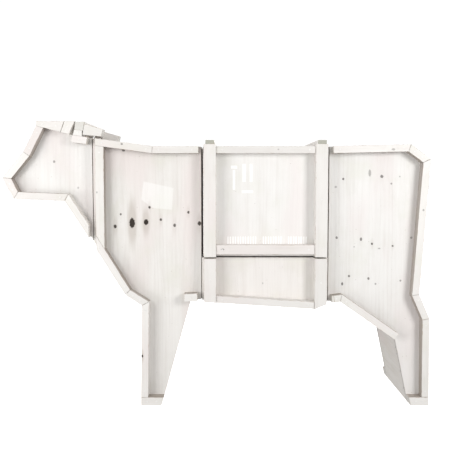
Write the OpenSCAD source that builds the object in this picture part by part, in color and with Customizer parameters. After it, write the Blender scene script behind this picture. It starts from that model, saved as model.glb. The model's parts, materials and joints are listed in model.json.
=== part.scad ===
// Cow-shaped crate cabinet: four crate boxes joined end to end and a deep lid let into the back.
// X runs along the body with the head at -X, Y across it, Z up. The origin is on the floor,
// under the middle of the overall length and of the depth.

/* [Overall] */
// Height of the level back above the floor
back_h = 1187; // [1000:1:1450]
// Depth over the outer faces of the two side panels
box_depth = 400; // [300:1:500]
// Length of the head box, from the muzzle tip to the neck seam
head_len = 395; // [340:1:480]
// Length of the front box, from the neck seam to the lid
front_len = 496; // [430:1:600]
// Length of the middle bay that holds the belly box and the lid
mid_len = 582; // [480:1:720]
// Length of the rear box, from the lid to the heel
rear_len = 462; // [400:1:560]

/* [Underside] */
// Height of the underside beside the front leg
front_belly_h = 486; // [400:1:560]
// Height of the underside beside the thigh
rear_belly_h = 479; // [400:1:560]
// Height of the lowest point of the belly
belly_low_h = 449; // [380:1:475]
// Height of the belly box's open rim
sill_h = 680; // [600:1:760]

/* [Boards] */
// Thickness of the side panels
panel_t = 15; // [9:1:24]
// Thickness of the boards between the side panels
board_t = 18; // [12:1:26]
// How far each side panel stops short of a seam between boxes
panel_set = 1.5; // [0.5:0.1:4]

/* [Battens] */
// Face width of the battens round the edges
batten_w = 32; // [24:1:40]
// How far the battens stand out from a side panel
batten_proud = 50; // [30:1:65]
// Face width of the battens at the feet
foot_batten_w = 38; // [28:1:48]
// Face width of the lid's bottom batten
lid_low_batten_w = 43; // [30:1:55]
// How far a batten stops short of a seam
batten_set = 12; // [4:1:18]
// How far the neck post and the battens beside it stop short of the neck seam
neck_set = 21; // [10:1:30]
// Gap left at each end of a board or batten, where it meets the next one
end_gap = 0.5; // [0.1:0.1:1.5]
// Face width of the neck post
neck_post_w = 38; // [28:1:50]

/* [Posts and straps] */
// Face width of the posts on the belly and the lid
post_w = 55; // [40:1:70]
// How far the posts stand out from a side panel
post_proud = 56; // [36:1:70]
// Distance from the ends of the middle bay to the posts
post_set = 12; // [6:1:25]
// How far the posts rise above the back
post_rise = 9; // [4:1:20]
// Width of the straps across the top
strap_w = 40; // [25:1:55]
// Thickness of the straps
strap_t = 18; // [10:1:24]

/* [Lid] */
// Gap between the lid and the front box
lid_gap_front = 7; // [3:0.5:10]
// Gap between the lid and the rear box
lid_gap_rear = 3; // [2:0.5:8]
// Gap between the lid and the belly box's rim
lid_gap_low = 6; // [4:0.5:9]
// How far the lid's rails and hinged posts stop above its lower edge
lid_post_lift = 13; // [11:1:20]
// How far the lid's near posts stop above its lower edge
near_post_lift = 1; // [0:0.5:8]

/* [Hinges] */
// Radius of the hinge pins
pin_r = 4; // [3:0.1:5]
// Radial clearance of the pins in the knuckles
pin_clear = 0.05; // [0.02:0.01:0.1]
// Radius of the knuckles
knuckle_r = 7.5; // [7:0.1:8]
// How far the hinge axis lies inside the posts' outer faces
hinge_inset = 6; // [5:0.1:6.5]
// Gap between neighbouring knuckles
knuckle_gap = 0.4; // [0.3:0.1:1]
// Thickness of the hinge leaves
leaf_t = 3; // [2:0.5:4]
// Width of the hinge leaves
leaf_w = 48; // [36:1:55]
// Length of each hinge leaf beyond the knuckles
leaf_l = 85; // [50:1:120]

/* [Fasteners] */
// Radius of the bolts that join the boxes
bolt_r = 5; // [4:0.5:6]
// Clearance between a bolt and its hole
bolt_clear = 0.5; // [0.2:0.1:1]
// Thickness of the bolt heads and nuts
bolt_head_h = 6.5; // [5:0.5:9]
// Thickness of the washers
washer_t = 2; // [1:0.5:3]
// Height between the two rows of bolts in the neck
neck_bolt_rise = 220; // [120:1:300]
// Height between the two rows of bolts beside the belly
belly_bolt_rise = 90; // [60:1:110]
// Distance between the bolts across the depth
bolt_across = 240; // [140:1:260]
// Radius of the screw heads
screw_head_r = 4; // [3:0.5:5]
// Radius of the screw shanks
screw_r = 2; // [1.5:0.1:2.5]
// How far the screws reach into a side panel
screw_bite = 10; // [5:1:12]
// Distance from a batten's end to its screws
screw_end = 28; // [18:1:40]

/* [Hidden] */

$fn = 48;
panel_colour = [0.93, 0.91, 0.88];
board_colour = [0.88, 0.85, 0.81];
batten_colour = [0.96, 0.95, 0.93];
steel_colour = [0.62, 0.63, 0.64];
pad_colour = [0.35, 0.35, 0.36];

// Faces across the depth
panel_y = box_depth / 2;
inner_y = panel_y - panel_t;
batten_y = panel_y + batten_proud;
post_y = panel_y + post_proud;

// Seams along the length
neck_x = head_len - (head_len + front_len + mid_len + rear_len) / 2;
mid_x0 = neck_x + front_len;
mid_x1 = mid_x0 + mid_len;
heel_x = mid_x1 + rear_len;

// The nape falls to the level back at this distance behind the neck seam
nape_run = 278;
nape_rise = 38;
neck_foot_h = back_h - 430;

// Outlines in X and Z, each anticlockwise with the inside on its left
head_top = 111;
head_outline = [
    [neck_x, back_h + nape_rise],
    [neck_x - 92, back_h + nape_rise + 13],
    [neck_x - 68, back_h + head_top],
    [neck_x - 222, back_h + head_top],
    [neck_x - head_len + 95, back_h - 26],
    [neck_x - head_len, back_h - 141],
    [neck_x - head_len + 47, back_h - 236],
    [neck_x - 119, back_h - 246],
    [neck_x, neck_foot_h]
];
front_outline = [
    [neck_x, back_h + nape_rise],
    [neck_x, neck_foot_h],
    [neck_x + 149, front_belly_h + 28],
    [neck_x + 225, front_belly_h - 21],
    [neck_x + 217, 0],
    [neck_x + 311, 0],
    [mid_x0 - 50, front_belly_h - 3],
    [mid_x0, front_belly_h],
    [mid_x0, back_h],
    [neck_x + nape_run, back_h]
];
belly_outline = [
    [mid_x0, front_belly_h - 4],
    [mid_x1 - post_set - post_w, belly_low_h],
    [mid_x1, rear_belly_h - 3],
    [mid_x1, sill_h],
    [mid_x0, sill_h]
];
rear_outline = [
    [mid_x1, rear_belly_h - 3],
    [mid_x1 + 50, rear_belly_h + 3],
    [heel_x - 147, 298],
    [heel_x - 83, 0],
    [heel_x, 0],
    [heel_x - 4, 405],
    [heel_x - 53, 516],
    [heel_x - 14, back_h - 58],
    [heel_x - 103, back_h + 8],
    [mid_x1, back_h]
];

// Lid box
lid_x0 = mid_x0 + lid_gap_front;
lid_x1 = mid_x1 - lid_gap_rear;
lid_z0 = sill_h + lid_gap_low;
lid_post_z = lid_z0 + lid_post_lift;
post_top_z = back_h + post_rise;
post_x = [mid_x0 + post_set, mid_x1 - post_set - post_w];

// Hinge axis, just inside the posts' outer faces and midway in the gap between them
hinge_y = post_y - hinge_inset;
hinge_z = (sill_h + lid_post_z) / 2;
leaf_start = knuckle_r + 1;
knuckle_w = (leaf_w - 2 * knuckle_gap) / 3;
pin_head_r = pin_r + 1.5;
pin_head_t = 2;

// Rest pads between the belly's ends and the lid
pad_gap = 0.3;
pad_w = 14;

// Brow wedge, cheek block, poll bar and ears, from the neck seam and the back
brow_low = [neck_x - 240, back_h + 90];
brow_wedge = [
    brow_low,
    [neck_x - 133, back_h + 62.5],
    [neck_x - 115, back_h + head_top],
    [neck_x - 240, back_h + head_top]
];
poll_block = [
    [neck_x - 131, back_h + 62],
    [neck_x - 94, back_h + 52.5],
    [neck_x - 68, back_h + head_top],
    [neck_x - 113, back_h + head_top]
];
poll_packer = [
    [neck_x - 78, back_h + nape_rise + 11.5],
    [neck_x - 37, back_h + nape_rise + 5.5],
    [neck_x - 35, back_h + 68],
    [neck_x - 70, back_h + 74]
];
poll_section = [
    [neck_x - 70, back_h + 74.3],
    [neck_x - 32, back_h + 67.8],
    [neck_x - 24, back_h + 108],
    [neck_x - 65.5, back_h + 108]
];
ear_section = [
    [neck_x - 34, back_h + 50],
    [neck_x + 50, back_h + 44],
    [neck_x + 58, back_h + 75],
    [neck_x - 25, back_h + 98]
];

// ---- Outline helpers ----
function at(pts, i) = pts[(i + len(pts)) % len(pts)];
function inward(a, b) = [a[1] - b[1], b[0] - a[0]] / norm(b - a);

// Corner i of an outline, with the edge before it moved in by da and the edge after it by db
function corner(pts, i, da, db) =
    let (
        p = at(pts, i),
        n1 = inward(at(pts, i - 1), p),
        n2 = inward(p, at(pts, i + 1)),
        det = n1[0] * n2[1] - n1[1] * n2[0]
    )
    p + [da * n2[1] - db * n1[1], db * n1[0] - da * n2[0]] / det;

// An outline with edge i moved in by d[i]
function moved_in(pts, d) = [for (i = [0 : len(pts) - 1]) corner(pts, i, at(d, i - 1), d[i])];

// A four-sided piece, listed from the start of its outer edge, shortened at both ends
function gapped(q) = moved_in(q, [0, end_gap, 0, end_gap]);

// Mitred strip of width t along edge i
function strip(pts, i, t) = gapped(
    [corner(pts, i, 0, 0), corner(pts, i + 1, 0, 0), corner(pts, i + 1, t, t), corner(pts, i, t, t)]
);

// Batten on edge i. w holds each edge's batten width, 0 for none; s holds how far the battens
// beside an edge with no batten stop short of it. Corners are mitred, except that the batten on
// the foot's edge runs right across and the battens beside it stand on it.
function reach_out(w, s, foot, j) = j == foot ? w[j] : (at(w, j) > 0 ? 0 : at(s, j));
function reach_in(w, s, foot, i, j) = at(w, j) > 0 ? (i == foot ? 0 : at(w, j)) : at(s, j);
function batten(pts, w, s, i, foot = -1) = gapped([
    corner(pts, i, reach_out(w, s, foot, i - 1), 0),
    corner(pts, i + 1, 0, reach_out(w, s, foot, i + 1)),
    corner(pts, i + 1, w[i], reach_in(w, s, foot, i, i + 1)),
    corner(pts, i, reach_in(w, s, foot, i, i - 1), w[i])
]);

// Bar of width w on the left of the line from a to b, with square ends
function bar(a, b, w) = gapped([a, b, b + w * inward(a, b), a + w * inward(a, b)]);

// Height of the line through a and b at x, and that line moved in by d
function height_at(a, b, x) = a[1] + (b[1] - a[1]) * (x - a[0]) / (b[0] - a[0]);
function inner_height(pts, i, d, x) =
    let (n = d * inward(at(pts, i), at(pts, i + 1)))
    height_at(at(pts, i) + n, at(pts, i + 1) + n, x);

// An upright between x0 and x1, from the batten on one outline edge to the batten on another
function upright(pts, low, high, d, x0, x1) = gapped([
    [x0, inner_height(pts, high, d, x0)],
    [x0, inner_height(pts, low, d, x0)],
    [x1, inner_height(pts, low, d, x1)],
    [x1, inner_height(pts, high, d, x1)]
]);

// ---- Battens of each box, as lists of outlines ----
// Face of the head below the brow wedge
face_outline = [
    head_outline[0],
    head_outline[1],
    brow_low,
    head_outline[4],
    head_outline[5],
    head_outline[6],
    head_outline[7],
    head_outline[8]
];
face_w = [0, 0, batten_w, batten_w, batten_w, batten_w, batten_w, 0];
face_s = [0, 0, 0, 0, 0, 0, 0, batten_set];
nape_batten = bar(nape_point(batten_set), nape_point(80), batten_w);
function nape_point(set) =
    [neck_x - set, height_at(head_outline[0], head_outline[1], neck_x - set)];
head_battens = concat(
    [for (i = [2 : 6]) batten(face_outline, face_w, face_s, i)],
    [nape_batten, brow_wedge, poll_block, poll_packer]
);

front_w = [0, batten_w, batten_w, batten_w, foot_batten_w, 0, 0, 0, batten_w, batten_w];
front_s = [neck_set, 0, 0, 0, 0, 0, 0, batten_set, 0, 0];
neck_post = upright(
    front_outline, 1, 9, batten_w, neck_x + neck_set, neck_x + neck_set + neck_post_w
);
front_belly_batten = bar(
    front_outline[6] - [28, 0.5], [mid_x0 - batten_set - 5, front_outline[7][1] - 0.5], batten_w + 3
);
front_battens = concat(
    [for (i = [0 : 9]) if (front_w[i] > 0) batten(front_outline, front_w, front_s, i, 4)],
    [neck_post, front_belly_batten]
);

belly_batten = gapped([
    [post_x[0] + post_w, height_at(belly_outline[0], belly_outline[1], post_x[0] + post_w)],
    belly_outline[1],
    [post_x[1], inner_height(belly_outline, 0, batten_w, post_x[1])],
    [post_x[0] + post_w, inner_height(belly_outline, 0, batten_w, post_x[0] + post_w)]
]);
belly_posts = [
    [
        [post_x[0], height_at(belly_outline[0], belly_outline[1], post_x[0])],
        [post_x[0] + post_w, height_at(belly_outline[0], belly_outline[1], post_x[0] + post_w)],
        [post_x[0] + post_w, sill_h],
        [post_x[0], sill_h]
    ],
    [
        belly_outline[1],
        [post_x[1] + post_w, height_at(belly_outline[1], belly_outline[2], post_x[1] + post_w)],
        [post_x[1] + post_w, sill_h],
        [post_x[1], sill_h]
    ]
];

rear_w = [
    batten_w, 0, 0, foot_batten_w, batten_w, batten_w, batten_w, batten_w, batten_w, 0
];
rear_s = [0, batten_w, 0, 0, 0, 0, 0, 0, 0, batten_set];
thigh_end = rear_outline[2]
    + 16 * (rear_outline[1] - rear_outline[2]) / norm(rear_outline[1] - rear_outline[2]);
thigh_batten = gapped([
    rear_outline[1],
    thigh_end,
    thigh_end + batten_w * inward(rear_outline[1], rear_outline[2]),
    corner(rear_outline, 1, batten_w, batten_w)
]);
rear_belly_batten = gapped([
    corner(rear_outline, 0, batten_set, 0),
    rear_outline[1],
    corner(rear_outline, 1, batten_w, batten_w),
    corner(rear_outline, 0, batten_set, batten_w)
]);
rear_battens = concat(
    [for (i = [3 : 8]) batten(rear_outline, rear_w, rear_s, i, 3)],
    [thigh_batten, rear_belly_batten]
);

lid_rails = [
    gapped(box_outline(post_x[0] + post_w, post_x[1], lid_post_z, lid_post_z + lid_low_batten_w)),
    gapped(box_outline(post_x[0] + post_w, post_x[1], back_h - batten_w, back_h))
];
function lid_posts(low) = [for (x = post_x) box_outline(x, x + post_w, low, post_top_z)];
function box_outline(x0, x1, z0, z1) = [[x0, z0], [x1, z0], [x1, z1], [x0, z1]];

// ---- Solids from outlines ----
// An outline in X and Z, extruded from y0 to y1
module slab(pts, y0, y1) {
    translate([0, y1, 0]) rotate([90, 0, 0]) linear_extrude(height = y1 - y0) polygon(pts);
}

// One side of the object: near is at -Y, far at +Y
module side_slab(pts, side, y0, y1) {
    slab(pts, side < 0 ? -y1 : y0, side < 0 ? -y0 : y1);
}

module side_panel(pts, d, side) {
    color(panel_colour) side_slab(moved_in(pts, d), side, inner_y, panel_y);
}

module edge_board(pts, i) {
    color(board_colour) slab(strip(pts, i, board_t), -inner_y, inner_y);
}

module battens(list, side, reach) {
    color(batten_colour) for (pts = list) side_slab(pts, side, panel_y, reach);
}

// ---- Side panels ----
head_set = [0, 0, 0, 0, 0, 0, 0, 0, panel_set];
front_set = [panel_set, 0, 0, 0, 0, 0, 0, panel_set, 0, 0];
belly_set = [0, 0, panel_set, 0, panel_set];
rear_set = [0, 0, 0, 0, 0, 0, 0, 0, 0, panel_set];
lid_outline = box_outline(lid_x0, lid_x1, lid_z0, back_h);

module head_panel_near() { side_panel(head_outline, head_set, -1); }
module head_panel_far() { side_panel(head_outline, head_set, 1); }
module front_panel_near() { side_panel(front_outline, front_set, -1); }
module front_panel_far() { side_panel(front_outline, front_set, 1); }
module belly_panel_near() { side_panel(belly_outline, belly_set, -1); }
module belly_panel_far() { side_panel(belly_outline, belly_set, 1); }
module rear_panel_near() { side_panel(rear_outline, rear_set, -1); }
module rear_panel_far() { side_panel(rear_outline, rear_set, 1); }
module lid_panel_near() { side_panel(lid_outline, [0, 0, 0, 0], -1); }
module lid_panel_far() { side_panel(lid_outline, [0, 0, 0, 0], 1); }

// ---- Boards between the panels ----
module nape_board() { edge_board(head_outline, 0); }
module brow_boards() { for (i = [1, 2]) edge_board(head_outline, i); }
module nose_boards() { for (i = [3, 4]) edge_board(head_outline, i); }
module muzzle_board() { edge_board(head_outline, 5); }
module jaw_board() { edge_board(head_outline, 6); }
module throat_board() { edge_board(head_outline, 7); }
module head_bulkhead() { drilled_board(head_outline, 8, neck_bolts); }

module neck_bulkhead() { drilled_board(front_outline, 0, neck_bolts); }
module chest_boards() { for (i = [1, 2]) edge_board(front_outline, i); }
module front_shin_board() { edge_board(front_outline, 3); }
module front_leg_board() { edge_board(front_outline, 5); }
module front_belly_board() { edge_board(front_outline, 6); }
module front_bulkhead() { drilled_board(front_outline, 7, front_bolts); }
module withers_boards() { for (i = [8, 9]) edge_board(front_outline, i); }
module soles() {
    edge_board(front_outline, 4);
    edge_board(rear_outline, 3);
}

module thigh_boards() { for (i = [0, 1]) edge_board(rear_outline, i); }
module rear_leg_board() { edge_board(rear_outline, 2); }
module rear_shin_boards() { for (i = [4, 5]) edge_board(rear_outline, i); }
module haunch_board() { edge_board(rear_outline, 6); }
module rump_board() { edge_board(rear_outline, 7); }
module loin_board() { edge_board(rear_outline, 8); }
module rear_bulkhead() { drilled_board(rear_outline, 9, rear_bolts); }

module belly_floor() { for (i = [0, 1]) edge_board(belly_outline, i); }
// The belly box is open at the top, so its ends stop square at the rim
module belly_end(i, bolts) {
    difference() {
        intersection() {
            edge_board(extended_belly, i);
            translate([mid_x0, -panel_y, 0]) cube([mid_len, box_depth, sill_h]);
        }
        bolt_holes(bolts);
    }
}
extended_belly = [
    belly_outline[0], belly_outline[1], belly_outline[2],
    belly_outline[3] + [0, 2 * board_t], belly_outline[4] + [0, 2 * board_t]
];
module belly_end_front() { color(board_colour) belly_end(4, front_bolts); }
module belly_end_rear() { color(board_colour) belly_end(2, rear_bolts); }

// The lid is open underneath: its ends hang from the top board
module lid_end(x) {
    color(board_colour) translate([x, -inner_y, lid_z0])
        cube([board_t, 2 * inner_y, back_h - board_t - lid_z0]);
}
module lid_end_front() { lid_end(lid_x0); }
module lid_end_rear() { lid_end(lid_x1 - board_t); }
module lid_top() {
    color(board_colour) translate([lid_x0, -inner_y, back_h - board_t])
        cube([lid_x1 - lid_x0, 2 * inner_y, board_t]);
}

// ---- Battens, posts and straps ----
module head_battens_near() { battens(head_battens, -1, batten_y); }
module head_battens_far() { battens(head_battens, 1, batten_y); }
module front_battens_near() { battens(front_battens, -1, batten_y); }
module front_battens_far() { battens(front_battens, 1, batten_y); }
module belly_battens_near() { railed(-1, [belly_batten], belly_posts); }
module belly_battens_far() {
    difference() {
        railed(1, [belly_batten], belly_posts);
        for (x = hinge_x) leaf(x, -1);
    }
}
module rear_battens_near() { battens(rear_battens, -1, batten_y); }
module rear_battens_far() { battens(rear_battens, 1, batten_y); }
module lid_battens_near() { railed(-1, lid_rails, lid_posts(lid_z0 + near_post_lift)); }
module lid_battens_far() {
    difference() {
        railed(1, lid_rails, lid_posts(lid_post_z));
        for (x = hinge_x) leaf(x, 1);
    }
}

// Rails between a pair of posts that stand out further
module railed(side, rails, posts) {
    battens(rails, side, batten_y);
    battens(posts, side, post_y);
}

module lid_straps() {
    color(batten_colour) for (x = post_x)
        translate([x + (post_w - strap_w) / 2, -post_y, post_top_z])
            cube([strap_w, 2 * post_y, strap_t]);
}

module poll_bar() { color(batten_colour) slab(poll_section, -batten_y, batten_y); }
module ears() {
    color(batten_colour) for (side = [-1, 1]) side_slab(ear_section, side, panel_y, batten_y);
}

// ---- Lid pads and hinges ----
module lid_pads() {
    color(pad_colour) for (x = [lid_x0, lid_x1 - pad_w])
        translate([x, -inner_y, sill_h]) cube([pad_w, 2 * inner_y, lid_gap_low - pad_gap]);
}

// Knuckle from x0 to x1 on the hinge axis, with a web to the leaf above (up = 1) or below (-1)
module knuckle(x0, x1, up) {
    translate([x0, hinge_y, hinge_z]) rotate([0, 90, 0]) cylinder(r = knuckle_r, h = x1 - x0);
    translate([x0, post_y - leaf_t, up > 0 ? hinge_z : hinge_z - leaf_start])
        cube([x1 - x0, leaf_t, leaf_start]);
}
// A leaf let in flush with the outer face of a far post
module leaf(x, up) {
    translate([x, post_y - leaf_t, up > 0 ? hinge_z + leaf_start : hinge_z - leaf_start - leaf_l])
        cube([leaf_w, leaf_t, leaf_l]);
}
module pin_bore(x) {
    translate([x - 1, hinge_y, hinge_z]) rotate([0, 90, 0])
        cylinder(r = pin_r + pin_clear, h = leaf_w + 2);
}
hinge_x = [for (x = post_x) x + (post_w - leaf_w) / 2];
knuckle_pitch = knuckle_w + knuckle_gap;

module hinge_leaves_belly() {
    color(steel_colour) for (x = hinge_x) difference() {
        union() {
            leaf(x, -1);
            for (k = [0, 2]) knuckle(x + k * knuckle_pitch, x + k * knuckle_pitch + knuckle_w, -1);
        }
        pin_bore(x);
    }
}
module hinge_leaves_lid() {
    color(steel_colour) for (x = hinge_x) difference() {
        union() {
            leaf(x, 1);
            knuckle(x + knuckle_pitch, x + knuckle_pitch + knuckle_w, 1);
        }
        pin_bore(x);
    }
}
module hinge_pins() {
    color(steel_colour) for (x = hinge_x) translate([x, hinge_y, hinge_z]) rotate([0, 90, 0]) {
        translate([0, 0, -pin_head_t]) cylinder(r = pin_head_r, h = pin_head_t);
        cylinder(r = pin_r, h = leaf_w);
        translate([0, 0, leaf_w]) cylinder(r = pin_head_r, h = pin_head_t);
    }
}

// ---- Bolts that join the boxes through their bulkheads, along X ----
neck_bolts = bolt_places(neck_x, back_h - 180, neck_bolt_rise);
front_bolts = bolt_places(mid_x0, sill_h - 85, belly_bolt_rise);
rear_bolts = bolt_places(mid_x1, sill_h - 85, belly_bolt_rise);
function bolt_places(x, z, rise) =
    [for (y = [-bolt_across / 2, bolt_across / 2]) for (dz = [-rise / 2, rise / 2]) [x, y, z + dz]];

module along_x(p, x0, h, r, sides) {
    translate([p[0] + x0, p[1], p[2]]) rotate([0, 90, 0]) cylinder(r = r, h = h, $fn = sides);
}
module bolt_holes(places) {
    for (p = places) along_x(p, -2 * board_t, 4 * board_t, bolt_r + bolt_clear, $fn);
}
module drilled_board(pts, i, places) {
    difference() {
        edge_board(pts, i);
        color(board_colour) bolt_holes(places);
    }
}

all_bolts = concat(neck_bolts, front_bolts, rear_bolts);
bolt_grip = board_t + washer_t;
nut_r = 2 * bolt_r;
module joining_bolts() {
    color(steel_colour) for (p = all_bolts) {
        along_x(p, -bolt_grip - bolt_head_h, bolt_head_h, nut_r, 6);
        along_x(p, -bolt_grip, 2 * bolt_grip + bolt_head_h + 4, bolt_r, $fn);
    }
}
module joining_washers() {
    color(steel_colour) for (p = all_bolts) for (x = [-bolt_grip, board_t]) difference() {
        along_x(p, x, washer_t, nut_r + 1, $fn);
        along_x(p, x - 1, washer_t + 2, bolt_r + bolt_clear, $fn);
    }
}
module joining_nuts() {
    color(steel_colour) for (p = all_bolts) difference() {
        along_x(p, bolt_grip, bolt_head_h, nut_r, 6);
        along_x(p, bolt_grip - 1, bolt_head_h + 2, bolt_r + pin_clear, $fn);
    }
}

// ---- Screws through the battens into the side panels ----
// Two points on a batten's centre line, in from its ends
function middle(a, b) = (a + b) / 2;
function screw_points(q) =
    let (
        a = middle(q[0], q[3]),
        b = middle(q[1], q[2]),
        step = screw_end * (b - a) / norm(b - a)
    )
    norm(b - a) > 3 * screw_end ? [a + step, b - step] : [middle(a, b)];

module screw(p, side, reach) {
    translate([p[0], side * reach, p[1]]) rotate([90 * side, 0, 0]) {
        cylinder(r = screw_r, h = reach - panel_y + screw_bite);
        translate([0, 0, -1]) cylinder(r = screw_head_r, h = 1);
    }
}
module screws(list, reach) {
    for (q = list) for (p = screw_points(q)) for (side = [-1, 1]) screw(p, side, reach);
}
module crate_screws() {
    color(steel_colour) {
        screws(concat(head_battens, front_battens, rear_battens, [belly_batten]), batten_y);
        screws(belly_posts, post_y);
    }
}
module lid_screws() {
    color(steel_colour) screws(lid_rails, batten_y);
    color(steel_colour) screws(lid_posts(lid_post_z), post_y);
}

head_panel_near();
head_panel_far();
front_panel_near();
front_panel_far();
belly_panel_near();
belly_panel_far();
rear_panel_near();
rear_panel_far();
lid_panel_near();
lid_panel_far();
nape_board();
brow_boards();
nose_boards();
muzzle_board();
jaw_board();
throat_board();
head_bulkhead();
neck_bulkhead();
chest_boards();
front_shin_board();
front_leg_board();
front_belly_board();
front_bulkhead();
withers_boards();
soles();
belly_floor();
belly_end_front();
belly_end_rear();
thigh_boards();
rear_leg_board();
rear_shin_boards();
haunch_board();
rump_board();
loin_board();
rear_bulkhead();
lid_end_front();
lid_end_rear();
lid_top();
head_battens_near();
head_battens_far();
front_battens_near();
front_battens_far();
belly_battens_near();
belly_battens_far();
rear_battens_near();
rear_battens_far();
lid_battens_near();
lid_battens_far();
lid_straps();
poll_bar();
ears();
lid_pads();
hinge_leaves_belly();
hinge_leaves_lid();
hinge_pins();
joining_bolts();
joining_washers();
joining_nuts();
crate_screws();
lid_screws();
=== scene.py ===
"""Looks for a cow-shaped crate cabinet: whitewashed timber, zinc fittings and soft studio light."""
import json
import math
import random

import bmesh
import bpy
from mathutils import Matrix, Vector, noise


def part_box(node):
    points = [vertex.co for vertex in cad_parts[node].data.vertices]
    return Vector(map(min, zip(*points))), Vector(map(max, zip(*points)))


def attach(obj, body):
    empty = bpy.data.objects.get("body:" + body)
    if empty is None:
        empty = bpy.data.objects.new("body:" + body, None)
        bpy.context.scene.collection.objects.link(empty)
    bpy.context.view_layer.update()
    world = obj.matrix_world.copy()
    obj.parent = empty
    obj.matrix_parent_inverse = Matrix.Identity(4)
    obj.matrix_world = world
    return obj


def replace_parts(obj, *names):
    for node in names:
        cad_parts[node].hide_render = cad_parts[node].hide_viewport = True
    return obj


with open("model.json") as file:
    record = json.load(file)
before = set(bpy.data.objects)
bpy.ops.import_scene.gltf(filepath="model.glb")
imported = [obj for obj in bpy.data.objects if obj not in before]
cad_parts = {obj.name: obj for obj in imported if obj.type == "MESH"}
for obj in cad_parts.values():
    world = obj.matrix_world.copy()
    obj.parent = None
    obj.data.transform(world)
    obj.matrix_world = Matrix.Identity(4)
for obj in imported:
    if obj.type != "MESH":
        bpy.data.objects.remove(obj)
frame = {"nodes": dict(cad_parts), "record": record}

# Without a seed this noise starts from the clock
NOISE_SEED = 11
noise.seed_set(NOISE_SEED)

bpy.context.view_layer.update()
RECORD = frame["record"]
NODES = frame["nodes"]
BODY_OF = {n: body for body, members in RECORD["behaviour"]["bodies"].items() for n in members}
SLOT_OF = {p["node"]: p["material_slot"] for p in RECORD["subparts"]}

# Edges and saw marks, in metres
EDGE_ROUND = 0.0013
PANEL_EDGE_ROUND = 0.0009
FITTING_EDGE_ROUND = 0.0004
SAW_STEP = 0.045
SAW_WAVE = 0.0004
SHARP = math.radians(25)
TIMBER_CREASE = math.radians(50)
SCREW_CREASE = math.radians(35)

# Where the boards meet the side panels, and the near face of the battens, from the middle in Y
BOARD_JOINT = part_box("muzzle_board")[1].y
BATTEN_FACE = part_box("front_battens_near")[0].y

# Screw heads: radius and height of each ring from the shank up, then the cross recess
SCREW_RINGS = ((0.0040, -0.0006), (0.0040, 0.0003), (0.0036, 0.0008))
SCREW_SIDES = 20
CROSS_ARM = 0.0023
CROSS_HALF = 0.00045
CROSS_TOP = 0.0010
CROSS_FLOOR = -0.0008

# The rear leg board's screws: steps down the board from its middle, and the distance out in Y
LEG_SCREW_STEPS = (-0.106, -0.074, 0.009, 0.092)
LEG_SCREW_OUT = 0.174

# Floor, light and camera
FLOOR_REACH = 60.0
FLOOR_GLOW = 0.80
WORLD_LIGHT = 0.52
WORLD_SEEN = 1.05
CAMERA_PLACE = (0.031, -3.135, 1.031)
CAMERA_DOWN = math.radians(3.927)
CAMERA_LENS = 51.28

# Colours, linear
WASH = (0.81, 0.797, 0.775, 1)
THIN_WASH = (0.61, 0.575, 0.54, 1)
PINK_WASH = (0.75, 0.68, 0.665, 1)
GREEN_WASH = (0.73, 0.73, 0.66, 1)
RAW_WOOD = (0.40, 0.29, 0.20, 1)
END_GRAIN = (0.36, 0.36, 0.30, 1)
# Painted shade for the inner sides of the battens, which look across their panels
PAINTED_SIDE_SHADE = (0.25, 0.20, 0.16, 1)
GRIME = (0.12, 0.095, 0.075, 1)
KNOT_CORE = (0.028, 0.020, 0.014, 1)
KNOT_RIM = (0.26, 0.19, 0.13, 1)
PAINT = (0.93, 0.925, 0.91, 1)

# Knots on the near panels: x, z, half width, half height in metres, and how dark, 0 to 1
FRONT_KNOTS = [
    (-0.473, 0.823, 0.008, 0.010, 0.85),
    (-0.447, 0.879, 0.005, 0.006, 0.7),
    (-0.395, 0.839, 0.014, 0.026, 1.0),
    (-0.331, 0.843, 0.012, 0.015, 0.95),
    (-0.315, 0.911, 0.006, 0.007, 0.8),
    (-0.263, 0.854, 0.006, 0.007, 0.8),
    (-0.200, 0.828, 0.007, 0.009, 0.75),
    (-0.137, 0.888, 0.006, 0.007, 0.8),
    (-0.086, 0.837, 0.009, 0.011, 0.85),
    (-0.431, 1.170, 0.008, 0.006, 0.7),
]
REAR_KNOTS = [
    (0.571, 1.040, 0.005, 0.006, 0.7),
    (0.537, 1.004, 0.006, 0.006, 0.35),
    (0.692, 1.067, 0.007, 0.018, 0.4),
    (0.747, 1.052, 0.008, 0.008, 0.65),
    (0.791, 1.019, 0.005, 0.005, 0.5),
    (0.829, 1.051, 0.004, 0.004, 0.35),
    (0.544, 0.771, 0.006, 0.007, 0.6),
    (0.656, 0.764, 0.006, 0.009, 0.65),
    (0.625, 0.729, 0.004, 0.004, 0.3),
    (0.707, 0.743, 0.005, 0.006, 0.8),
    (0.740, 0.721, 0.007, 0.004, 0.4),
    (0.802, 0.733, 0.005, 0.005, 0.75),
    (0.887, 0.771, 0.006, 0.006, 0.5),
    (0.603, 0.593, 0.006, 0.006, 0.65),
    (0.572, 0.557, 0.005, 0.008, 0.7),
    (0.693, 0.582, 0.006, 0.007, 0.65),
    (0.726, 0.557, 0.005, 0.005, 0.45),
    (0.841, 0.572, 0.005, 0.005, 0.5),
]
HEAD_KNOTS = [(-0.748, 1.119, 0.006, 0.007, 0.5), (-0.640, 1.000, 0.005, 0.006, 0.3)]
BELLY_KNOTS = [(0.473, 0.615, 0.005, 0.006, 0.5), (0.205, 0.560, 0.004, 0.005, 0.25)]
BATTEN_KNOTS = [
    (-0.349, 0.232, 0.006, 0.007, 0.95),
    (-0.431, 1.196, 0.006, 0.005, 0.5),
    (0.785, 1.172, 0.009, 0.006, 0.35),
    (0.925, 0.900, 0.005, 0.006, 0.4),
    (-0.545, 0.980, 0.004, 0.005, 0.35),
    (0.270, 1.172, 0.005, 0.004, 0.3),
    (0.020, 0.722, 0.009, 0.004, 0.6),
]

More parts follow.
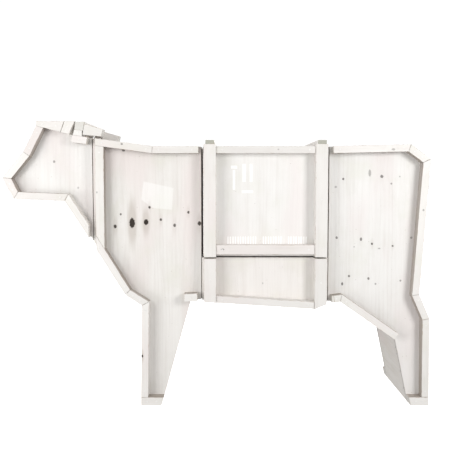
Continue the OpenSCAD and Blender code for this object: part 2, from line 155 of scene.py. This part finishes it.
# Corners of the paler area on the near front panel: x and z in metres
PALE_PATCH = [(-0.341, 1.029), (-0.353, 0.946), (-0.296, 0.907), (-0.212, 0.900), (-0.203, 0.999)]

# The row of short strokes on the lid: first x, last x, middle z and height in metres
STENCIL_ROW = (0.040, 0.412, 0.7555, 0.042)
STENCIL_GROUPS = (6, 4, 4)
STENCIL_STROKE = 0.0052
STENCIL_FRONT = 0.00025
STENCIL_BACK = -0.0003

# The larger bars above it: middle x, middle z, width and height in metres
STENCIL_BLOCKS = [
    (0.072, 1.036, 0.011, 0.090),
    (0.072, 1.094, 0.028, 0.014),
    (0.118, 1.068, 0.014, 0.082),
    (0.150, 1.068, 0.012, 0.082),
    (0.134, 0.982, 0.052, 0.012),
]


# ---- Timber meshes ----
def merged(mesh):
    """A CAD mesh with its vertices joined and its flat faces whole."""
    bm = bmesh.new()
    bm.from_mesh(mesh)
    bmesh.ops.remove_doubles(bm, verts=bm.verts, dist=1e-5)
    bmesh.ops.dissolve_limit(bm, angle_limit=math.radians(0.5), verts=bm.verts, edges=bm.edges)
    bm.faces.index_update()
    return bm


def islands(bm):
    """The separate solids of a mesh, each as a list of faces."""
    seen = set()
    found = []
    for first in bm.faces:
        if first.index in seen:
            continue
        seen.add(first.index)
        group = [first]
        for face in group:
            for edge in face.edges:
                for other in edge.link_faces:
                    if other.index not in seen:
                        seen.add(other.index)
                        group.append(other)
        found.append(group)
    return found


def copied(faces):
    """A new mesh of just these faces."""
    bm = bmesh.new()
    made = {}
    for face in faces:
        for v in face.verts:
            if v.index not in made:
                made[v.index] = bm.verts.new(v.co)
    for face in faces:
        bm.faces.new([made[v.index] for v in face.verts])
    bm.normal_update()
    return bm


def piece_axes(bm, run):
    """Directions along the grain, across the face and through the thickness.
    run is upright for a panel, level for a batten, whose grain lies in its side's plane, or free."""
    edges = [(e.verts[1].co - e.verts[0].co) for e in bm.edges]
    if run == "level":
        edges = [d for d in edges if abs(d.y) < 0.5 * d.length]
    along = max(edges, key=lambda d: round(d.length, 6)).normalized()
    if run == "upright":
        along = Vector((0, 0, 1))
    flat = [f for f in bm.faces if abs(f.normal.dot(along)) < 0.2]
    through = max(flat, key=lambda f: round(f.calc_area(), 9)).normal.copy()
    across = through.cross(along).normalized()
    return along, across, along.cross(across)


def saw_cuts(bm, along):
    """Cuts a bar into short lengths, so that its faces can wander a little."""
    reach = [v.co.dot(along) for v in bm.verts]
    low, high = min(reach), max(reach)
    count = int((high - low) / SAW_STEP)
    for k in range(1, count):
        place = along * (low + (high - low) * k / count)
        everything = bm.verts[:] + bm.edges[:] + bm.faces[:]
        bmesh.ops.bisect_plane(bm, geom=everything, plane_co=place, plane_no=along, dist=1e-6)


def wander(bm, along, seed):
    """Moves the vertices sideways by a few tenths of a millimetre, smoothly along the piece."""
    for v in bm.verts:
        push = noise.noise_vector(v.co * 9 + seed) * SAW_WAVE
        v.co += push - along * push.dot(along)


def rounded(bm, size):
    """Rounds every sharp edge. The new faces keep material index 1, to mark them as worn."""
    sharp = [e for e in bm.edges if len(e.link_faces) == 2 and e.calc_face_angle(0) > SHARP]
    bmesh.ops.bevel(
        bm, geom=sharp, offset=size, offset_type="OFFSET", segments=2, profile=0.55,
        affect="EDGES", clamp_overlap=True, material=1,
    )
    bm.normal_update()


def faces_inward(face, middle):
    """True for the side of a batten that looks across its panel."""
    towards = middle - face.calc_center_median()
    return abs(face.normal.y) < 0.3 and face.normal.dot(towards) > 0.03


def timber(node, material, run="free", sawn=False, painted_shade_inside=False):
    """Replaces a CAD node by timber pieces that carry their own grain directions.
    marks holds each piece's tone, its worn edges, and 1 on sawn ends or -1 on the inner sides of battens
    that get painted shade."""
    source = merged(NODES[node].data)
    panel_middle = Vector()
    if painted_shade_inside:
        low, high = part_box(node.replace("battens", "panel"))
        panel_middle = (low + high) / 2
    verts, faces, grain, marks = [], [], [], []
    for number, group in enumerate(islands(source)):
        rng = random.Random(f"{node} {number}")
        bm = copied(group)
        along, across, through = piece_axes(bm, run)
        seed = Vector((rng.uniform(-20, 20), rng.uniform(-20, 20), rng.uniform(-20, 20)))
        middle = sum((v.co for v in bm.verts), Vector()) / len(bm.verts)
        if sawn:
            saw_cuts(bm, along)
            wander(bm, along, seed)
        rounded(bm, EDGE_ROUND if sawn else PANEL_EDGE_ROUND)
        tone = rng.uniform(-1, 1)
        start = len(verts)
        bm.verts.index_update()
        for v in bm.verts:
            rel = v.co - middle
            verts.append(v.co.copy())
            grain.append(Vector((rel.dot(along), rel.dot(across), rel.dot(through))) + seed)
        for f in bm.faces:
            faces.append([start + v.index for v in f.verts])
            face_on = abs(f.normal.dot(through)) if run == "upright" else 1 - abs(f.normal.dot(along))
            end = 1.0 if face_on < 0.25 else 0.0
            # Inner sides of battens, which look across their panel, are marked for painted shade
            if painted_shade_inside and end == 0 and faces_inward(f, panel_middle):
                end = -1.0
            marks.append(Vector((tone, float(f.material_index), end)))
        bm.free()
    source.free()
    obj = new_piece(node + "_timber", verts, faces, material, BODY_OF[node])
    write_vectors(obj.data, "grain", "POINT", grain)
    write_vectors(obj.data, "marks", "FACE", marks)
    smooth_by_area(obj)
    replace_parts(obj, node)
    return obj


def new_piece(name, verts, faces, material, body):
    mesh = bpy.data.meshes.new(name)
    mesh.from_pydata([tuple(v) for v in verts], [], faces)
    mesh.materials.append(material)
    obj = bpy.data.objects.new(name, mesh)
    bpy.context.scene.collection.objects.link(obj)
    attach(obj, body)
    return obj


def write_vectors(mesh, name, domain, values):
    attribute = mesh.attributes.new(name, "FLOAT_VECTOR", domain)
    attribute.data.foreach_set("vector", [x for value in values for x in value])


def smooth_by_area(obj):
    """Smooth shading over the rounded edges that leaves the flat faces flat."""
    obj.data.shade_smooth()
    obj.data.set_sharp_from_angle(angle=TIMBER_CREASE)
    weighted = obj.modifiers.new("weighted", "WEIGHTED_NORMAL")
    weighted.weight = 100
    weighted.keep_sharp = True


# ---- Node helpers ----
class Tree:
    """Short calls for building one node tree."""

    def __init__(self, tree):
        self.tree = tree

    def node(self, kind, values=None, **settings):
        made = self.tree.nodes.new(kind)
        for name, value in settings.items():
            setattr(made, name, value)
        for key, value in (values or {}).items():
            self.feed(made.inputs[key], value)
        return made

    def feed(self, socket, value):
        if isinstance(value, bpy.types.NodeSocket):
            self.tree.links.new(value, socket)
        else:
            socket.default_value = value

    def math(self, operation, a, b=0.0, c=0.0, clamp=False):
        values = {0: a, 1: b}
        if operation in ("MULTIPLY_ADD", "SMOOTH_MAX", "WRAP"):
            values[2] = c
        return self.node("ShaderNodeMath", values, operation=operation, use_clamp=clamp).outputs[0]

    def vector(self, operation, a, b=(0, 0, 0)):
        return self.node("ShaderNodeVectorMath", {0: a, 1: b}, operation=operation).outputs[0]

    def noise(self, place, scale=1.0, detail=2.0, rough=0.5, stretch=None):
        if stretch:
            place = self.vector("MULTIPLY", place, stretch)
        values = {"Vector": place, "Scale": scale, "Detail": detail, "Roughness": rough}
        return self.node("ShaderNodeTexNoise", values).outputs[0]

    def ranged(self, value, low, high, to_low=0.0, to_high=1.0, smooth=True):
        kind = "SMOOTHSTEP" if smooth else "LINEAR"
        values = {0: value, 1: low, 2: high, 3: to_low, 4: to_high}
        return self.node("ShaderNodeMapRange", values, interpolation_type=kind).outputs[0]

    def mix(self, factor, a, b, blend="MIX"):
        made = self.node("ShaderNodeMix", data_type="RGBA", blend_type=blend, clamp_factor=True)
        self.feed(made.inputs[0], factor)
        self.feed(made.inputs[6], a)
        self.feed(made.inputs[7], b)
        return made.outputs[2]

    def split(self, vector):
        return self.node("ShaderNodeSeparateXYZ", {0: vector}).outputs

    def joined(self, x, y, z):
        return self.node("ShaderNodeCombineXYZ", {0: x, 1: y, 2: z}).outputs[0]


def new_material(name):
    material = bpy.data.materials.new(name)
    material.use_nodes = True
    material.node_tree.nodes.clear()
    tree = Tree(material.node_tree)
    return material, tree


def surface(tree, colour, rough, height, depth, metal=0.0, specular=0.35):
    """Ends a material in one Principled shader with a bump from height."""
    bump = tree.node("ShaderNodeBump", {"Height": height, "Distance": depth, "Strength": 0.8})
    shader = tree.node("ShaderNodeBsdfPrincipled", {
        "Base Color": colour, "Roughness": rough, "Metallic": metal, "Normal": bump.outputs[0],
    })
    shader.inputs["Specular IOR Level"].default_value = specular
    tree.node("ShaderNodeOutputMaterial", {"Surface": shader.outputs[0]})
    return shader


def knot_group():
    """A node group that adds one knot to the running sums of warp, core and halo."""
    group = bpy.data.node_groups.new("knot", "ShaderNodeTree")
    face = group.interface
    one_knot = ("X", "Z", "At X", "At Z", "Half Width", "Half Height", "Dark", "Wobble")
    for name in one_knot + ("Warp", "Core", "Halo"):
        face.new_socket(name, in_out="INPUT", socket_type="NodeSocketFloat")
    for name in ("Warp", "Core", "Halo"):
        face.new_socket(name, in_out="OUTPUT", socket_type="NodeSocketFloat")
    t = Tree(group)
    given = t.node("NodeGroupInput").outputs
    dx = t.math("DIVIDE", t.math("SUBTRACT", given["X"], given["At X"]), given["Half Width"])
    dz = t.math("DIVIDE", t.math("SUBTRACT", given["Z"], given["At Z"]), given["Half Height"])
    square = t.math("ADD", t.math("MULTIPLY", dx, dx), t.math("MULTIPLY", dz, dz))
    away = t.math("MULTIPLY_ADD", given["Wobble"], 0.7, t.math("SQRT", square))
    core = t.math("MULTIPLY", t.ranged(away, 1.05, 0.7), given["Dark"])
    long_z = t.math("MULTIPLY", dz, 0.35)
    far = t.math("SQRT", t.math("ADD", t.math("MULTIPLY", dx, dx), t.math("MULTIPLY", long_z, long_z)))
    halo = t.math("MULTIPLY", t.ranged(far, 3.6, 0.8), given["Dark"])
    falloff = t.ranged(far, 5.0, 0.3)
    aside = t.math("MULTIPLY", dx, given["Half Width"])
    push = t.math("MULTIPLY", aside, t.math("MULTIPLY", falloff, -0.55))
    out = t.node("NodeGroupOutput")
    t.feed(out.inputs["Warp"], t.math("ADD", given["Warp"], push))
    t.feed(out.inputs["Core"], t.math("MAXIMUM", given["Core"], core))
    t.feed(out.inputs["Halo"], t.math("MAXIMUM", given["Halo"], halo))
    return group


KNOT = knot_group()


def add_knots(t, place, knots):
    """Warp of the grain, dark cores and brown halos of a panel's knots."""
    x, _, z = t.split(place)
    wobble = t.math("SUBTRACT", t.noise(place, 130, 3, 0.6), 0.5)
    warp, core, halo = 0.0, 0.0, 0.0
    for at_x, at_z, half_w, half_h, dark in knots:
        values = {
            "X": x, "Z": z, "At X": at_x, "At Z": at_z, "Half Width": half_w, "Half Height": half_h,
            "Dark": dark, "Wobble": wobble, "Warp": warp, "Core": core, "Halo": halo,
        }
        made = t.node("ShaderNodeGroup", node_tree=KNOT)
        for key, value in values.items():
            t.feed(made.inputs[key], value)
        warp, core, halo = made.outputs["Warp"], made.outputs["Core"], made.outputs["Halo"]
    return warp, core, halo


def polygon_mask(t, place, corners, soft):
    """1 inside a convex polygon in X and Z, falling to 0 over a soft edge."""
    x, _, z = t.split(place)
    mask = 1.0
    for (ax, az), (bx, bz) in zip(corners, corners[1:] + corners[:1]):
        length = math.hypot(bx - ax, bz - az)
        nx, nz = (az - bz) / length, (bx - ax) / length
        away = t.math("MULTIPLY_ADD", x, nx, t.math("MULTIPLY_ADD", z, nz, -(ax * nx + az * nz)))
        mask = t.math("MULTIPLY", mask, t.ranged(away, -soft, soft))
    return mask


# ---- Timber materials ----
def timber_material(name, cover, tint=(1, 1, 1, 1), knots=(), patch=None, rings=55.0, end_show=0.3,
                    specks=0.4, skin=None, joint=None):
    """Whitewash over softwood. cover is how thick the wash lies, end_show how much the sawn ends
    show through it and specks how dark its pinholes are, each from 0 to 1. skin is the Y of the
    face that the knots are on, where they don't go right through. joint is how far from the middle,
    in Y, the boards meet the side panels, where grime collects."""
    material, t = new_material(name)
    grain = t.node("ShaderNodeAttribute", attribute_name="grain").outputs["Vector"]
    tone, worn, side = t.split(t.node("ShaderNodeAttribute", attribute_name="marks").outputs["Vector"])
    # side is 1 on sawn ends and -1 on the inner sides of battens, which get painted shade
    end = t.math("MAXIMUM", side, 0.0)
    gets_painted_shade = t.math("MAXIMUM", t.math("MULTIPLY", side, -1.0), 0.0)
    place = t.node("ShaderNodeTexCoord").outputs["Object"]
    warp, core, halo = add_knots(t, place, knots)
    if skin:
        near = t.ranged(t.split(place)[1], skin + 0.004, skin + 0.016, 1.0, 0.0)
        core, halo = t.math("MULTIPLY", core, near), t.math("MULTIPLY", halo, near)

    along, across, through = t.split(grain)
    drift = t.math("SUBTRACT", t.noise(grain, 1, 3, 0.5, (1.3, 5, 5)), 0.5)
    bent = t.math("ADD", t.math("MULTIPLY_ADD", drift, 0.07, across), warp)
    lined = t.joined(along, bent, through)

    # Growth rings show as bands along the grain, on the ends as arcs
    square = t.math("ADD", t.math("MULTIPLY", across, across), t.math("MULTIPLY", through, through))
    radius = t.math("SQRT", square)
    band = t.math("SINE", t.math("MULTIPLY", bent, rings * math.tau))
    band = t.math("POWER", t.math("MULTIPLY_ADD", band, 0.5, 0.5), 2.6)
    arcs = t.math("SINE", t.math("MULTIPLY", t.math("ADD", radius, t.math("MULTIPLY", drift, 0.01)), 1900.0))
    arcs = t.math("MULTIPLY_ADD", arcs, 0.5, 0.5)
    fibre = t.noise(lined, 1, 4, 0.65, (4, 330, 330))
    streak = t.noise(lined, 1, 5, 0.62, (0.9, 26, 26))
    broad = t.noise(lined, 1, 2, 0.5, (0.55, 7, 7))
    brushed = t.noise(grain, 1, 4, 0.6, (7, 60, 60))
    mottle = t.noise(grain, 6.5, 4, 0.6)
    blush = t.noise(grain, 1, 2, 0.5, (2.2, 6, 6))

    figure = t.math("MULTIPLY", t.ranged(streak, 0.35, 0.72), 0.46)
    figure = t.math("MULTIPLY_ADD", t.ranged(fibre, 0.42, 0.75), 0.30, figure)
    figure = t.math("MULTIPLY_ADD", t.math("MULTIPLY", band, t.ranged(broad, 0.38, 0.66)), 0.34, figure)
    figure = t.math("MULTIPLY_ADD", t.ranged(mottle, 0.35, 0.70), 0.30, figure)
    thin = t.math("MULTIPLY", t.ranged(brushed, 0.30, 0.75, 0.45, 1.0), 1.0 - cover)
    shows = t.math("MULTIPLY", figure, thin, clamp=True)

    colour = t.mix(shows, WASH, THIN_WASH)
    uncovered = 1.25 - cover
    pink = t.math("MULTIPLY", t.ranged(blush, 0.45, 0.70), 0.58 * uncovered)
    colour = t.mix(pink, colour, PINK_WASH)
    green = t.math("MULTIPLY", t.ranged(mottle, 0.48, 0.74), 0.52 * uncovered)
    colour = t.mix(green, colour, GREEN_WASH)
    colour = t.mix(1.0, colour, tint, "MULTIPLY")
    if patch:
        pale = t.math("MULTIPLY", polygon_mask(t, place, patch, 0.004), 0.36)
        colour = t.mix(pale, colour, PAINT)
    if knots:
        colour = t.mix(t.math("MULTIPLY", t.math("POWER", halo, 5.0), 0.36), colour, KNOT_RIM)
        colour = t.mix(t.math("MULTIPLY", core, 1.1, clamp=True), colour, KNOT_CORE)
    shown = t.ranged(arcs, 0.0, 1.0, 0.75 * end_show, end_show)
    colour = t.mix(t.math("MULTIPLY", end, shown), colour, END_GRAIN)
    if joint:
        reach = t.math("ABSOLUTE", t.split(place)[1])
        seam = t.ranged(reach, joint - 0.005, joint - 0.0015)
        grimy = t.math("MULTIPLY", seam, t.ranged(streak, 0.3, 0.6, 0.6, 0.9))
        colour = t.mix(grimy, colour, GRIME)
    # Painted shade on the battens' inner sides, streaky along the grain
    shade_streaks = t.ranged(streak, 0.3, 0.7, 0.55, 0.85)
    colour = t.mix(t.math("MULTIPLY", gets_painted_shade, shade_streaks), colour, PAINTED_SIDE_SHADE)
    cells = t.node("ShaderNodeTexVoronoi", {"Vector": t.joined(along, across, 0.0), "Scale": 17.0},
                   voronoi_dimensions="2D").outputs
    size = t.ranged(t.split(cells["Color"])[0], 0.35, 1.0, 0.0, 0.034)
    pinhole = t.ranged(t.math("SUBTRACT", size, cells["Distance"]), 0.0, 0.010)
    colour = t.mix(t.math("MULTIPLY", pinhole, specks), colour, KNOT_RIM)
    rubbed = t.math("MULTIPLY", worn, t.ranged(t.noise(grain, 34, 3, 0.6), 0.48, 0.66, 0.06, 0.75))
    colour = t.mix(rubbed, colour, RAW_WOOD)
    bright = t.node("ShaderNodeHueSaturation", {
        "Color": colour, "Value": t.math("MULTIPLY_ADD", tone, 0.03, 1.0),
    }).outputs[0]

    rough = t.ranged(t.math("ADD", fibre, t.math("MULTIPLY", shows, 0.5)), 0.3, 1.2, 0.56, 0.86)
    height = t.math("MULTIPLY_ADD", fibre, 0.5, t.math("MULTIPLY", band, 0.25))
    height = t.math("MULTIPLY_ADD", brushed, 0.35, height)
    height = t.math("MULTIPLY_ADD", core, -0.5, height)
    surface(t, bright, rough, height, 0.0007)
    return material


def metal_material(name, base, dark, coat, cells):
    """Zinc or steel with crystal patches, fine scratches and grime; coat is how much paint covers it."""
    material, t = new_material(name)
    place = t.node("ShaderNodeTexCoord").outputs["Object"]
    crystal = t.node("ShaderNodeTexVoronoi", {"Vector": place, "Scale": cells}).outputs["Color"]
    flake = t.split(crystal)[0]
    scratch = t.noise(place, 1, 3, 0.6, (90, 900, 900))
    grime = t.noise(place, 55, 4, 0.65)
    painted = t.ranged(t.noise(place, 160, 3, 0.6), 0.62 - 0.5 * coat, 0.72 - 0.5 * coat)
    painted = t.math("MULTIPLY", painted, 1.0 if coat > 0 else 0.0)
    colour = t.mix(t.ranged(flake, 0, 1, 0.15, 0.65), base, dark)
    colour = t.mix(t.ranged(grime, 0.52, 0.8, 0.0, 0.6), colour, (0.16, 0.13, 0.10, 1))
    colour = t.mix(painted, colour, WASH)
    rough = t.math("ADD", t.ranged(scratch, 0.3, 0.8, 0.28, 0.5), t.math("MULTIPLY", painted, 0.35))
    metal = t.math("SUBTRACT", 1.0, painted, clamp=True)
    height = t.math("MULTIPLY_ADD", painted, 0.8, t.math("MULTIPLY", scratch, 0.3))
    surface(t, colour, rough, height, 0.0002, metal, 0.5)
    return material


def felt_material():
    material, t = new_material("grey_felt")
    place = t.node("ShaderNodeTexCoord").outputs["Object"]
    fuzz = t.noise(place, 900, 4, 0.7)
    lumps = t.noise(place, 120, 3, 0.6)
    colour = t.mix(t.ranged(fuzz, 0.3, 0.7), (0.10, 0.10, 0.105, 1), (0.24, 0.235, 0.23, 1))
    height = t.math("MULTIPLY_ADD", lumps, 0.5, fuzz)
    shader = surface(t, colour, 0.95, height, 0.0008, 0.0, 0.1)
    shader.inputs["Sheen Weight"].default_value = 0.4
    return material


def paint_material():
    """Thin white stencil paint, worn through along the grain."""
    material, t = new_material("stencil_paint")
    place = t.node("ShaderNodeTexCoord").outputs["Object"]
    fibre = t.noise(place, 1, 4, 0.65, (260, 260, 5))
    speck = t.noise(place, 240, 3, 0.6)
    worn = t.math("MULTIPLY", t.ranged(fibre, 0.52, 0.70), t.ranged(speck, 0.40, 0.6))
    colour = t.mix(worn, PAINT, WASH)
    surface(t, colour, t.ranged(speck, 0.3, 0.7, 0.45, 0.65), fibre, 0.0003)
    return material


# ---- Screws ----
def screw_head(bm, centre, outward, spin):
    """A domed head with a cross recess, on a short shank."""
    first = Vector((outward.z, 0, -outward.x)) if abs(outward.y) < 0.5 else Vector((1, 0, 0))
    second = outward.cross(first)

    def point(r, angle, out):
        around = first * (r * math.cos(angle)) + second * (r * math.sin(angle))
        return bm.verts.new(centre + around + outward * out)

    count = SCREW_SIDES
    turn = [spin + 2 * math.pi * k / count for k in range(count)]
    rings = [[point(r, a, out) for a in turn] for r, out in SCREW_RINGS]
    for low, high in zip(rings, rings[1:]):
        for k in range(count):
            bm.faces.new((low[k], low[(k + 1) % count], high[(k + 1) % count], high[k]))
    bm.faces.new(rings[0])
    corners = []
    for quarter in range(4):
        for u, v in ((CROSS_ARM, -CROSS_HALF), (CROSS_ARM, CROSS_HALF), (CROSS_HALF, CROSS_HALF)):
            corners.append((math.hypot(u, v), math.atan2(v, u) + quarter * math.pi / 2 + spin))
    mouth = [point(r, a, CROSS_TOP) for r, a in corners]
    floor = [point(r * 0.8, a, CROSS_FLOOR) for r, a in corners]
    points = len(corners)
    loop = [bm.edges.new((mouth[k], mouth[(k + 1) % points])) for k in range(points)]
    rim = [bm.edges.get((rings[2][k], rings[2][(k + 1) % count])) for k in range(count)]
    bmesh.ops.triangle_fill(bm, edges=loop + rim, use_beauty=True)
    for k in range(points):
        n = (k + 1) % points
        bm.faces.new((mouth[k], mouth[n], floor[n], floor[k]))
    bm.faces.new(floor)


def screws(node, material):
    """Detailed heads at the places of a CAD node's screws."""
    source = merged(NODES[node].data)
    bm = bmesh.new()
    for number, group in enumerate(islands(source)):
        points = [v.co for f in group for v in f.verts]
        low = [min(p[i] for p in points) for i in range(3)]
        high = [max(p[i] for p in points) for i in range(3)]
        side = -1 if low[1] + high[1] < 0 else 1
        outer = low[1] if side < 0 else high[1]
        centre = Vector(((low[0] + high[0]) / 2, outer - side * 0.001, (low[2] + high[2]) / 2))
        screw_head(bm, centre, Vector((0, side, 0)), random.Random(f"{node} {number}").uniform(0, 1.5))
    source.free()
    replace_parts(finished_heads(bm, node + "_heads", material, BODY_OF[node]), node)


def finished_heads(bm, name, material, body):
    bmesh.ops.recalc_face_normals(bm, faces=bm.faces)
    bm.verts.index_update()
    faces = [[v.index for v in f.verts] for f in bm.faces]
    obj = new_piece(name, [v.co.copy() for v in bm.verts], faces, material, body)
    bm.free()
    obj.data.shade_smooth()
    obj.data.set_sharp_from_angle(angle=SCREW_CREASE)
    return obj


def leg_board_screws(material):
    """Screws along both edges of the rear leg's inner board, into the side panels."""
    source = merged(NODES["rear_leg_board"].data)
    outer = min(source.faces, key=lambda f: f.normal.x * round(f.calc_area(), 6))
    centre, outward = outer.calc_center_median(), outer.normal.copy()
    down = Vector((-outward.z, 0, outward.x))
    bm = bmesh.new()
    for number, side in enumerate((-1, 1)):
        for step in LEG_SCREW_STEPS:
            place = centre + down * step + Vector((0, side * LEG_SCREW_OUT, 0))
            screw_head(bm, place, outward, 0.4 * number + 7 * step)
    source.free()
    finished_heads(bm, "rear_leg_board_heads", material, BODY_OF["rear_leg_board"])


# ---- Stencil bars ----
def stencil_bars(material):
    """Plain bars of paint on the lid's near panel, with slightly ragged edges."""
    face_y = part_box("lid_panel_near")[0].y
    start, stop, middle, height = STENCIL_ROW
    pitch = (stop - start) / (sum(STENCIL_GROUPS) + len(STENCIL_GROUPS) - 1)
    blocks = list(STENCIL_BLOCKS)
    x = start
    for count in STENCIL_GROUPS:
        for _ in range(count):
            blocks.append((x + 0.2 * pitch, middle, STENCIL_STROKE, height))
            blocks.append((x + 0.66 * pitch, middle, STENCIL_STROKE, height))
            x += pitch
        x += pitch
    verts, faces = [], []
    for cx, cz, width, tall in blocks:
        outline = ragged(cx, cz, width, tall)
        first = len(verts)
        count = len(outline)
        for depth in (STENCIL_FRONT, STENCIL_BACK):
            verts += [(px, face_y - depth, pz) for px, pz in outline]
        faces.append([first + k for k in range(count)])
        faces.append([first + count + k for k in reversed(range(count))])
        for k in range(count):
            n = (k + 1) % count
            faces.append([first + n, first + k, first + count + k, first + count + n])
    return new_piece("lid_stencil_bars", verts, faces, material, "lid")


def ragged(cx, cz, width, tall):
    """Outline of a bar whose edges wander by a few tenths of a millimetre."""
    outline = []
    sides = [
        ((-1, -1), (1, -1), width),
        ((1, -1), (1, 1), tall),
        ((1, 1), (-1, 1), width),
        ((-1, 1), (-1, -1), tall),
    ]
    for (ax, az), (bx, bz), length in sides:
        steps = max(3, int(length / 0.003))
        for k in range(steps):
            s = k / steps
            px = cx + (ax + (bx - ax) * s) * width / 2
            pz = cz + (az + (bz - az) * s) * tall / 2
            wobble = noise.noise_vector(Vector((px, pz, 0)) * 420) * 0.0006
            outline.append((px + wobble.x, pz + wobble.y))
    return outline


def fitting(carried, material):
    """A CAD node that keeps its mesh, with its own material and softened edges."""
    carried.data.materials.clear()
    carried.data.materials.append(material)
    soft_edge = carried.modifiers.new("soft_edge", "BEVEL")
    soft_edge.width = FITTING_EDGE_ROUND
    soft_edge.segments = 2
    soft_edge.limit_method = "ANGLE"
    soft_edge.angle_limit = SHARP


def mirrored(knots, shift):
    """The near side's knots moved along and down a little, for the far side."""
    return [(x + shift, z - 0.07 - 0.4 * shift, w * 1.1, h, dark) for x, z, w, h, dark in knots]


# ---- Build ----
PANELS = {
    "head_panel_near": timber_material("head_panel_wash", 0.42, knots=HEAD_KNOTS),
    "front_panel_near": timber_material(
        "front_panel_wash", 0.25, (0.975, 0.965, 0.955, 1), FRONT_KNOTS, PALE_PATCH
    ),
    "belly_panel_near": timber_material("belly_panel_wash", 0.35, (0.98, 0.96, 0.95, 1), BELLY_KNOTS),
    "rear_panel_near": timber_material("rear_panel_wash", 0.40, knots=REAR_KNOTS),
    "lid_panel_near": timber_material("lid_panel_wash", 0.48),
    "front_panel_far": timber_material("front_far_wash", 0.30, knots=mirrored(FRONT_KNOTS[:6], 0.06)),
    "rear_panel_far": timber_material("rear_far_wash", 0.36, knots=mirrored(REAR_KNOTS[:9], -0.02)),
}
for part in ("head", "belly", "lid"):
    PANELS[part + "_panel_far"] = PANELS[part + "_panel_near"]

BOARD_WASH = timber_material("board_wash", 0.15, (0.95, 0.93, 0.91, 1), rings=80.0, joint=BOARD_JOINT)
BATTEN_WASH = timber_material(
    "batten_wash", 0.42, (0.95, 0.94, 0.93, 1), knots=BATTEN_KNOTS, rings=110.0, specks=0.8,
    skin=BATTEN_FACE,
)
STRAP_WASH = timber_material("strap_wash", 0.40, (0.96, 0.955, 0.94, 1), rings=110.0, end_show=1.0)

ZINC_HINGE = metal_material("zinc_hinge_metal", (0.62, 0.63, 0.65, 1), (0.42, 0.43, 0.45, 1), 0.25, 420)
ZINC_BOLT = metal_material("zinc_bolt_metal", (0.60, 0.60, 0.60, 1), (0.36, 0.36, 0.35, 1), 0.0, 900)
SCREW_STEEL = metal_material("screw_metal", (0.50, 0.50, 0.50, 1), (0.28, 0.28, 0.28, 1), 0.8, 1500)
FITTINGS = {"zinc_hinge": ZINC_HINGE, "zinc_bolt": ZINC_BOLT, "felt_pad": felt_material()}
STENCIL_PAINT = paint_material()

for node, slot in SLOT_OF.items():
    if slot == "whitewashed_panel":
        timber(node, PANELS[node], "upright")
    elif slot == "whitewashed_board":
        timber(node, BOARD_WASH)
    elif node == "lid_straps":
        timber(node, STRAP_WASH, sawn=True)
    elif node == "poll_bar":
        timber(node, BATTEN_WASH, sawn=True)
    elif slot == "whitewashed_batten":
        # The battens of the head, front and rear get painted shade on their inner sides
        gets_painted_shade = node.startswith(("head_battens", "front_battens", "rear_battens"))
        timber(node, BATTEN_WASH, "level", sawn=True, painted_shade_inside=gets_painted_shade)
    elif slot == "screw_steel":
        screws(node, SCREW_STEEL)
    else:
        fitting(NODES[node], FITTINGS[slot])
stencil_bars(STENCIL_PAINT)
leg_board_screws(ZINC_BOLT)


# ---- Floor, light and camera ----
def studio_floor():
    """A pale floor that glows a little and leaves the light on the object alone."""
    material, t = new_material("studio_floor")
    place = t.node("ShaderNodeTexCoord").outputs["Object"]
    cloud = t.noise(place, 3, 3, 0.5)
    colour = t.mix(t.ranged(cloud, 0.3, 0.7), (0.90, 0.90, 0.90, 1), (0.93, 0.93, 0.93, 1))
    shader = surface(t, colour, 0.8, cloud, 0.0002, 0.0, 0.1)
    shader.inputs["Emission Color"].default_value = (1, 1, 1, 1)
    shader.inputs["Emission Strength"].default_value = FLOOR_GLOW
    mesh = bpy.data.meshes.new("studio_floor")
    corners = [(x * FLOOR_REACH, y * FLOOR_REACH, 0) for x, y in ((-1, -1), (1, -1), (1, 1), (-1, 1))]
    mesh.from_pydata(corners, [], [(0, 1, 2, 3)])
    mesh.materials.append(material)
    floor = bpy.data.objects.new("studio_floor", mesh)
    bpy.context.scene.collection.objects.link(floor)
    floor.visible_diffuse = False
    floor.visible_glossy = False


def soft_light(name, place, target, size, power):
    """A rectangular softbox at a place, turned to a target, with its size in metres and watts."""
    data = bpy.data.lights.new(name, "AREA")
    data.shape = "RECTANGLE"
    data.size, data.size_y = size
    data.energy = power
    light = bpy.data.objects.new(name, data)
    light.location = place
    light.rotation_euler = (Vector(target) - Vector(place)).to_track_quat("-Z", "Y").to_euler()
    light.visible_camera = False
    bpy.context.scene.collection.objects.link(light)


def white_world():
    """White for the camera, softer for the light that it gives."""
    world = bpy.data.worlds.new("white_studio")
    world.use_nodes = True
    world.node_tree.nodes.clear()
    t = Tree(world.node_tree)
    seen = t.node("ShaderNodeLightPath").outputs["Is Camera Ray"]
    strength = t.ranged(seen, 0.0, 1.0, WORLD_LIGHT, WORLD_SEEN, smooth=False)
    back = t.node("ShaderNodeBackground", {"Color": (1, 1, 1, 1), "Strength": strength})
    t.node("ShaderNodeOutputWorld", {"Surface": back.outputs[0]})
    bpy.context.scene.world = world


def camera():
    data = bpy.data.cameras.new("camera")
    data.sensor_width = 36.0
    data.lens = CAMERA_LENS
    data.clip_start = 0.05
    data.clip_end = 300.0
    cam = bpy.data.objects.new("camera", data)
    cam.location = CAMERA_PLACE
    cam.rotation_euler = (math.radians(90) - CAMERA_DOWN, 0, 0)
    bpy.context.scene.collection.objects.link(cam)
    bpy.context.scene.camera = cam


studio_floor()
white_world()
soft_light("left_softbox", (-1.60, -2.20, 1.30), (-0.1, 0.0, 0.75), (0.8, 0.9), 21.0)
soft_light("low_fill", (-2.60, -1.90, 0.50), (0.8, 0.0, 0.25), (1.2, 0.8), 25.0)
soft_light("right_softbox", (1.90, -2.20, 1.50), (0.4, 0.0, 0.85), (0.8, 0.9), 36.0)
soft_light("top_softbox", (0.1, 0.3, 3.4), (0.1, 0.0, 0.6), (2.6, 1.8), 15.0)
soft_light("back_softbox", (0.2, 3.4, 2.2), (0.0, 0.0, 0.7), (2.4, 1.6), 70.0)
camera()
bpy.context.scene.view_settings.view_transform = "Standard"
